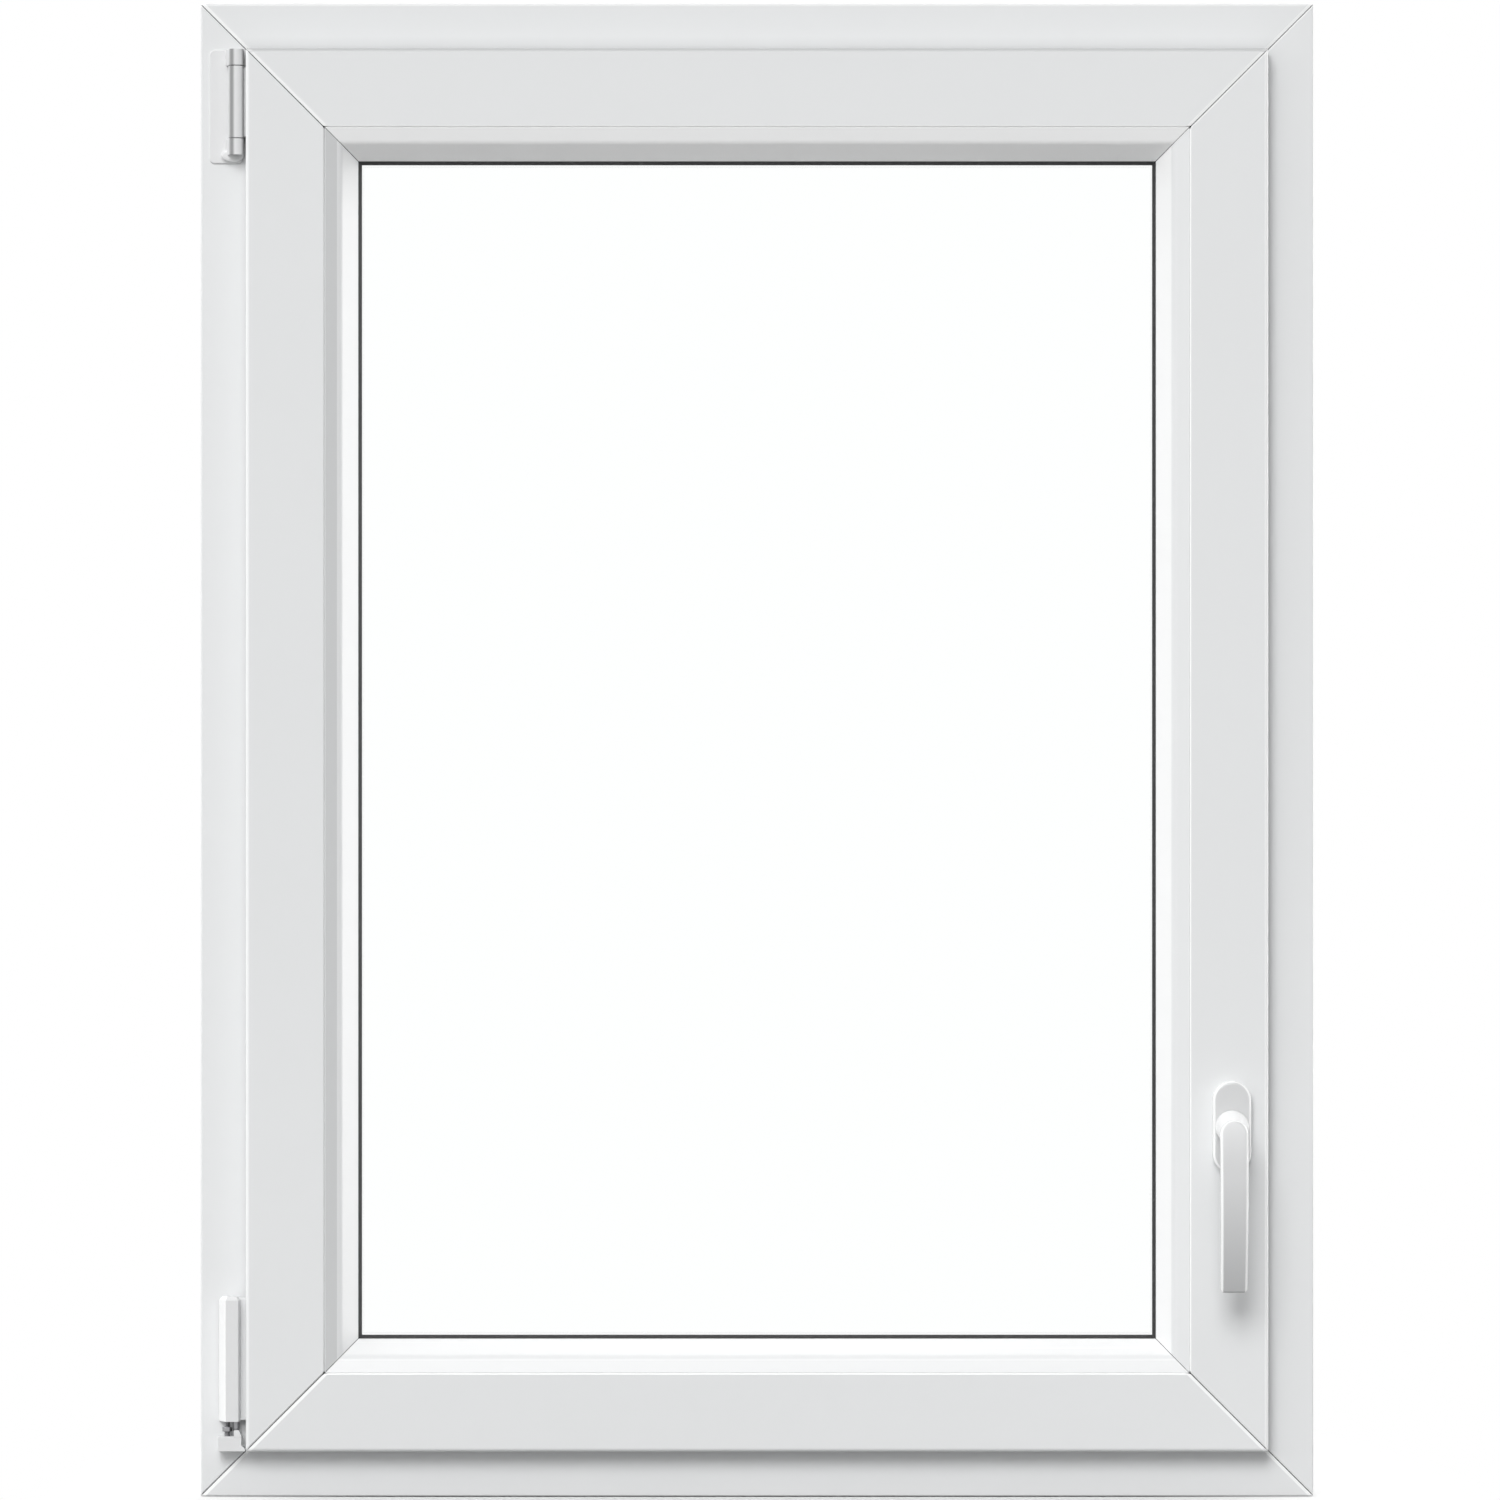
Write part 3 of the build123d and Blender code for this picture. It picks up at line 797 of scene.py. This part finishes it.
topHinge = {
    "barrel": 5.7 * mm,
    "endLength": 12 * mm,
    "middleLength": 53 * mm,
    "gap": 0.5 * mm,
    "ease": 0.5 * mm,
    "plateLeft": 20 * mm,
    "plateRight": 5 * mm,
    "plateThickness": 1.6 * mm,
    "plateTail": 6 * mm,
    "plateCorner": 4 * mm,
    "plateEase": 1 * mm,
    "flank": 8.6 * mm,
    "frontSteps": 30,
    "footSize": (8.5 * mm, 5 * mm),
    "footLeft": 2.7 * mm,
    "footReach": 6 * mm,
    "footEase": 2 * mm,
    "footSteps": 6,
    "streak": (-0.98, -0.12),  # across the barrel, in radii from its middle
    "streakFade": (0.25, 0.3),
    "streakShade": 0.8,
    "edge": 0.7,
    "edgeFade": 0.2,
    "edgeShade": 0.55,
    "shadeBack": 1 * mm,
}
tongue = {"thickness": 3 * mm, "setBack": 2.8 * mm, "margin": 1 * mm, "ease": 0.4 * mm}


def tongueShell(low, high):
    half, margin, ease = tongue["thickness"] / 2, tongue["margin"], tongue["ease"]
    section = rectangle(0, toSash, tongue["setBack"] - half, tongue["setBack"] + half)
    levels = easedLevels(low + margin, high - margin, ease, ease)
    return softPrism(roundedOutline(section), levels, aroundAxis)


# the barrel's round front runs into a web with straight flanks
def knuckleOutline(h):
    r, steps = h["barrel"], h["frontSteps"]
    turns = [-math.pi * k / steps for k in range(steps + 1)]
    front = [Vector((r * math.cos(t), r * math.sin(t))) for t in turns]
    return front + [Vector((-h["flank"], toFrame)), Vector((h["plateRight"], toFrame))]


def zeroToOne(value):
    return min(1, max(0, value))


# painted shade along a streak left of the barrel's middle and at its right edge, standing in for the
# shaded sides of the round barrel
def barrelShade(h, shells):
    (left, right), (leftFade, rightFade) = h["streak"], h["streakFade"]
    values = []
    for point in [p for shell in shells for p in shell[0]]:
        across = (point.x - at["hingeX"]) / h["barrel"]
        inStreak = zeroToOne(min((right - across) / rightFade, (across - left) / leftFade))
        atEdge = zeroToOne((across - h["edge"]) / h["edgeFade"])
        streak, edge = inStreak * h["streakShade"], atEdge * h["edgeShade"]
        values.append(max(streak, edge) if point.y < at["hingeY"] + h["shadeBack"] else 0)
    return {"grimeAndShade": values}


def topHingePieces(h):
    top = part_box("top_hinge_pin")[1].z
    middleHigh = top - h["endLength"] - h["gap"]
    middleLow = middleHigh - h["middleLength"]
    low = middleLow - h["gap"] - h["endLength"]
    plateHigh, plateLow = top, low - h["plateTail"]
    left, right = -h["plateLeft"], h["plateRight"]
    plateCorners = rectangle(left, right, plateLow, plateHigh, h["plateCorner"])
    plate = softPrism(
        roundedOutline(plateCorners),
        easedLevels(0, h["plateThickness"], 0, h["plateEase"]),
        onFace(at["hingeX"], at["frameRoom"], 0),
    )
    foot = softPrism(
        ovalOutline(*h["footSize"]),
        easedLevels(0, h["footReach"], 0, h["footEase"], h["footSteps"]),
        onFace(at["hingeX"] - h["footLeft"], at["frameRoom"], low),
    )
    ends = []
    for base in (low, top - h["endLength"]):
        levels = easedLevels(base, base + h["endLength"], h["ease"], h["ease"])
        ends.append(softPrism(knuckleOutline(h), levels, aroundAxis))
    bracket = [plate, foot] + ends
    makePiece("top_hinge_bracket_cast", bracket, "hinge_white", "top_hinge_frame_bracket",
              barrelShade(h, bracket))
    barrelLevels = easedLevels(middleLow, middleHigh, h["ease"], h["ease"])
    barrel = softPrism(ovalOutline(h["barrel"], h["barrel"]), barrelLevels, aroundAxis)
    knuckle = [barrel, tongueShell(middleLow, middleHigh)]
    makePiece("top_hinge_knuckle_turned", knuckle, "hinge_white", "top_hinge_stay_knuckle",
              barrelShade(h, knuckle))


topHingePieces(topHinge)

bottomHinge = {
    "bearingLeft": 13.1 * mm,
    "bearingRight": 4.2 * mm,
    "bearingReach": 15.5 * mm,
    "bearingCorner": 0.9 * mm,
    "bearingEase": 0.4 * mm,
    "smallCorner": 0.5 * mm,
    "toeHeight": 4.5 * mm,
    "toeTip": 1.5 * mm,
    "toeGap": 0.5 * mm,
    "cheekLeft": 1.5 * mm,
    "cheekRight": 2.5 * mm,
    "cheekRise": 4.6 * mm,
    "cheekThickness": 3 * mm,
    "cheekSink": 1 * mm,
    "cheekCorners": (0.6 * mm, 0.8 * mm),
    "bandBack": (-13.1 * mm, 4.6 * mm),
    "bandFront": (-7.7 * mm, 2.1 * mm),
    "bandReach": 16 * mm,
    "bandClearance": 1 * mm,
    "bandEdge": 0.8 * mm,
    "bandBackEdge": 0.3 * mm,
    "capEdge": 0.1 * mm,
    "capHeight": 2.6 * mm,
    "capInset": 2.18 * mm,
    "capSteps": 4,
    "bandFootEase": 0.4 * mm,
    "bandHighlight": 0.3 * mm,  # painted highlight on the left flank, to just past its corner
    "pivotRadius": 2.5 * mm,
    "pivotEase": 0.3 * mm,
    # height above the bearing and depth, in mm
    "pivotGroove": ((4.4, 0), (4.7, 0.35), (5.3, 0.35), (5.6, 0)),
    "roundSteps": 36,
    "screwLeft": 6.5 * mm,
    "screwRadius": 2.2 * mm,
    "threadPitch": 0.8 * mm,
    "threadDepth": 0.3 * mm,
    "threadCrest": 0.45,  # of a pitch
    "threadRoot": 0.95,
    "nutRadius": 3.6 * mm,
    "nutSpan": (3.4 * mm, 6.6 * mm),
    "nutEase": 0.35 * mm,
    "nutCorner": 0.3 * mm,
}


# a stud's levels, drawn in at each thread
def threadLevels(h, low, high):
    depth = h["threadDepth"]
    layers = [(low, depth)]
    turns = max(1, int((high - low) / h["threadPitch"]))
    rise = (high - low) / turns
    for k in range(turns):
        start = low + (high - low) * k / turns
        layers += [(start + rise * h["threadCrest"], 0), (start + rise * h["threadRoot"], depth)]
    return layers + [(high, depth)]


# the band's section, drawn in all round for its foot and its sloping cap
def bandOutline(h, drawnIn):
    back, front = toFrame - h["bandClearance"], toFrame - h["bandReach"]
    (backLeft, backRight), (frontLeft, frontRight) = h["bandBack"], h["bandFront"]
    corners = [
        Vector((backLeft, back)),
        Vector((frontLeft, front)),
        Vector((frontRight, front)),
        Vector((backRight, back)),
    ]
    radii = (h["bandBackEdge"], h["bandEdge"], h["bandEdge"], h["bandBackEdge"])
    moved = insetOutline(corners, drawnIn)
    edges = [max(radius - drawnIn, h["capEdge"]) for radius in radii]
    return roundedOutline([(*point, edge) for point, edge in zip(moved, edges)])


def bottomHingePieces(h):
    blockLow = at["sashEdge"]
    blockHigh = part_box("bottom_hinge_adjusting_screw")[0].z
    bandLow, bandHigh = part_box("bottom_hinge_sash_band")[0].z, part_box("bottom_hinge_sash_band")[1].z
    face = onFace(at["hingeX"], at["frameRoom"], blockLow)
    high = blockHigh - blockLow
    block = softPrism(
        roundedOutline([
            (-h["bearingLeft"], 0, h["bearingCorner"]),
            (-h["bearingLeft"], high, h["bearingCorner"]),
            (h["bearingRight"], high, h["smallCorner"]),
            (h["bearingRight"], h["toeHeight"], h["smallCorner"]),
            (toSash - h["toeGap"], h["toeTip"], h["smallCorner"]),
            (toSash - h["toeGap"], 0, h["smallCorner"]),
        ]),
        easedLevels(0, h["bearingReach"], 0, h["bearingEase"]),
        face,
    )
    cheekBack, cheekFront = h["bearingReach"] - h["cheekThickness"], h["bearingReach"]
    cheekLow, cheekHigh = high - h["cheekSink"], high + h["cheekRise"]
    leftCorner, rightCorner = h["cheekCorners"]
    cheek = softPrism(
        roundedOutline([
            (-h["cheekLeft"], cheekLow, 0),
            (-h["cheekLeft"], cheekHigh, leftCorner),
            (h["cheekRight"], cheekHigh, rightCorner),
            (h["bearingRight"], high, 0),
            (h["bearingRight"], cheekLow, 0),
        ]),
        easedLevels(cheekBack, cheekFront, h["bearingEase"], h["bearingEase"]),
        face,
    )
    makePiece("bottom_hinge_bearing_cast", [block, cheek], "hinge_white",
              "bottom_hinge_frame_bearing")

    outline = bandOutline(h, 0)
    shoulder = bandHigh - h["capHeight"]
    levels = easedLevels(bandLow, shoulder, h["bandFootEase"], 0)
    steps = h["capSteps"]
    for k in range(1, steps + 1):
        levels.append((shoulder + h["capHeight"] * k / steps, h["capInset"] * k / steps))
    rings = []
    for level, inset in levels:
        rings.append([aroundAxis(p.x, p.y, level) for p in bandOutline(h, inset)])
    band = ringShell(rings, [level for level, inset in levels], outline)
    bandTongue = tongueShell(bandLow, bandHigh)
    # painted highlight on the band's left flank
    highlightTo = h["bandFront"][0] + h["bandHighlight"]
    highlightMarks = [1 if p.x < highlightTo else 0 for p in outline] * len(levels)
    makePiece("bottom_hinge_band_cast", [band, bandTongue], "hinge_white", "bottom_hinge_sash_band",
              {"trimAndHighlight": highlightMarks + [0] * len(bandTongue[0])})

    pivotLow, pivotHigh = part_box("bottom_hinge_pivot")[0].z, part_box("bottom_hinge_pivot")[1].z
    ends = easedLevels(pivotLow, pivotHigh, h["pivotEase"], h["pivotEase"])
    groove = [(blockHigh + rise * mm, inset * mm) for rise, inset in h["pivotGroove"]]
    pivotLevels = ends[:easeSteps + 1] + groove + ends[easeSteps + 1:]
    pivotOutline = ovalOutline(h["pivotRadius"], h["pivotRadius"], steps=h["roundSteps"])
    pivot = softPrism(pivotOutline, pivotLevels, aroundAxis)
    makePiece("bottom_hinge_pivot_turned", [pivot], "hinge_steel", "bottom_hinge_pivot")

    screwMiddle = (-h["screwLeft"], 0)
    stud = softPrism(
        ovalOutline(h["screwRadius"], h["screwRadius"], screwMiddle, h["roundSteps"]),
        threadLevels(h, blockHigh, bandLow),
        aroundAxis,
    )
    nutLow, nutHigh = [blockHigh + level for level in h["nutSpan"]]
    r, turns = h["nutRadius"], [math.pi / 3 * k for k in range(6)]
    hexagon = [(screwMiddle[0] + r * math.cos(t), r * math.sin(t), h["nutCorner"]) for t in turns]
    nutLevels = easedLevels(nutLow, nutHigh, h["nutEase"], h["nutEase"])
    nut = softPrism(roundedOutline(hexagon), nutLevels, aroundAxis)
    makePiece("bottom_hinge_screw_threaded", [stud, nut], "hinge_steel",
              "bottom_hinge_adjusting_screw")


bottomHingePieces(bottomHinge)
print("hinges made")


# floor, light and camera

# one where the camera, a reflection or a view through the glass looks, none for light on the window
def lookedAt(tree, path):
    direct = mathNode(tree, "MAXIMUM", path.outputs["Is Camera Ray"], path.outputs["Is Glossy Ray"])
    seen = mathNode(tree, "MAXIMUM", direct, path.outputs["Is Transmission Ray"])
    unscattered = mathNode(tree, "LESS_THAN", path.outputs["Diffuse Depth"], 0.5)  # depth 0 only
    return mathNode(tree, "MULTIPLY", seen, unscattered)


floorLook = {
    "size": 40.0,
    "drop": 0.0005,  # clear of the sill's underside
    "roughness": 0.8,
    "pale": 0.92,
    "bounce": 0.33,
    "shadowReach": 0.6,
    "whiteFrom": 1.3,
    "acrossScale": 2.4,
}


def floorMaterial():
    material, tree, shader = startMaterial("paleFloor")
    shader.inputs["Roughness"].default_value = floorLook["roughness"]
    path = makeNode(tree, "ShaderNodeLightPath")
    # seen as pale, but throws little light back up at the window
    bounce = makeNode(tree, "ShaderNodeMapRange")
    bounce.inputs["To Min"].default_value = floorLook["pale"]
    bounce.inputs["To Max"].default_value = floorLook["bounce"]
    tree.links.new(path.outputs["Is Diffuse Ray"], bounce.inputs["Value"])
    tree.links.new(bounce.outputs["Result"], shader.inputs["Base Color"])
    coord = makeNode(tree, "ShaderNodeTexCoord")
    away = makeNode(tree, "ShaderNodeVectorMath", operation="LENGTH")
    place = stretched(tree, coord.outputs["Object"], (floorLook["acrossScale"], 1, 1))
    tree.links.new(place, away.inputs[0])
    # plain white further off, where no shadow falls
    fade = softStep(tree, away.outputs["Value"], floorLook["shadowReach"], floorLook["whiteFrom"])
    white = makeNode(tree, "ShaderNodeEmission")
    mixShaders(tree, mathNode(tree, "MULTIPLY", fade, lookedAt(tree, path)), shader, white)
    return material


half = floorLook["size"] / 2
floorMesh = bpy.data.meshes.new("floor")
floorCorners = [(-half, -half, 0), (half, -half, 0), (half, half, 0), (-half, half, 0)]
floorMesh.from_pydata(floorCorners, [], [(0, 1, 2, 3)])
floor = bpy.data.objects.new("floor", floorMesh)
floor.location.z = -floorLook["drop"]
scene.collection.objects.link(floor)
floorMesh.materials.append(floorMaterial())


worldLook = {"fill": 0.52, "lean": 1.0}


# white where it is looked at, a dim fill that leans to the left elsewhere
def studioWorld():
    world = bpy.data.worlds.new("studio")
    world.use_nodes = True
    tree = world.node_tree
    background = tree.nodes["Background"]
    background.inputs["Color"].default_value = (1, 1, 1, 1)
    path = makeNode(tree, "ShaderNodeLightPath")
    coord = makeNode(tree, "ShaderNodeTexCoord")
    heading = splitVector(tree, coord.outputs["Generated"])
    slope = -worldLook["fill"] * worldLook["lean"]
    fill = mathNode(tree, "MULTIPLY_ADD", heading["X"], slope, worldLook["fill"])
    level = makeNode(tree, "ShaderNodeMix", data_type="FLOAT")
    tree.links.new(lookedAt(tree, path), level.inputs["Factor"])
    tree.links.new(fill, level.inputs["A"])
    level.inputs["B"].default_value = 1.0
    tree.links.new(level.outputs["Result"], background.inputs["Strength"])
    scene.world = world


studioWorld()


windowMiddle = (0, 0, 0.55)


def aimed(name, light, place):
    holder = bpy.data.objects.new(name, light)
    holder.location = place
    ahead = Vector(windowMiddle) - Vector(place)
    holder.rotation_euler = ahead.to_track_quat("-Z", "Y").to_euler()
    holder.visible_camera = False
    holder.visible_transmission = False
    scene.collection.objects.link(holder)


suns = {
    "overhead": {"at": (-0.76, -4.07, 3.21), "softness": 30, "strength": 1.84},
    "behind": {"at": (0.6, 4.2, 3.15), "softness": 50, "strength": 1.0},
}
for name, sun in suns.items():
    light = bpy.data.lights.new(name, "SUN")
    light.energy = sun["strength"]
    light.angle = math.radians(sun["softness"])
    aimed(name, light, sun["at"])

# level with the window or a little behind it, so they catch edges and leave the faces
banks = {
    "leftBank": {"at": (-2.0, 0.3, 0.7), "size": (0.7, 1.8), "watts": 7},
    "rightBank": {"at": (1.95, 0.72, 0.7), "size": (0.7, 1.8), "watts": 26},
}
for name, bank in banks.items():
    light = bpy.data.lights.new(name, "AREA")
    light.shape = "RECTANGLE"
    light.size, light.size_y = bank["size"]
    light.energy = bank["watts"]
    aimed(name, light, bank["at"])
print("stage lit")


# straight on, from far back, with the window a little right of the middle
view = {
    "fromFace": 8.0,
    "fieldAtFace": 1.1054,
    "sideways": -0.0052,
    "height": 0.55,
    "sensor": 36,
    "clipEnd": 100,
}
camera = bpy.data.cameras.new("front")
camera.sensor_width = view["sensor"]
camera.lens = camera.sensor_width * view["fromFace"] / view["fieldAtFace"]
camera.clip_end = view["clipEnd"]
viewer = bpy.data.objects.new("front", camera)
viewer.location = (view["sideways"], at["frameRoom"] - view["fromFace"], view["height"])
viewer.rotation_euler = (math.pi / 2, 0, 0)
scene.collection.objects.link(viewer)
scene.camera = viewer

print("pieces ready")
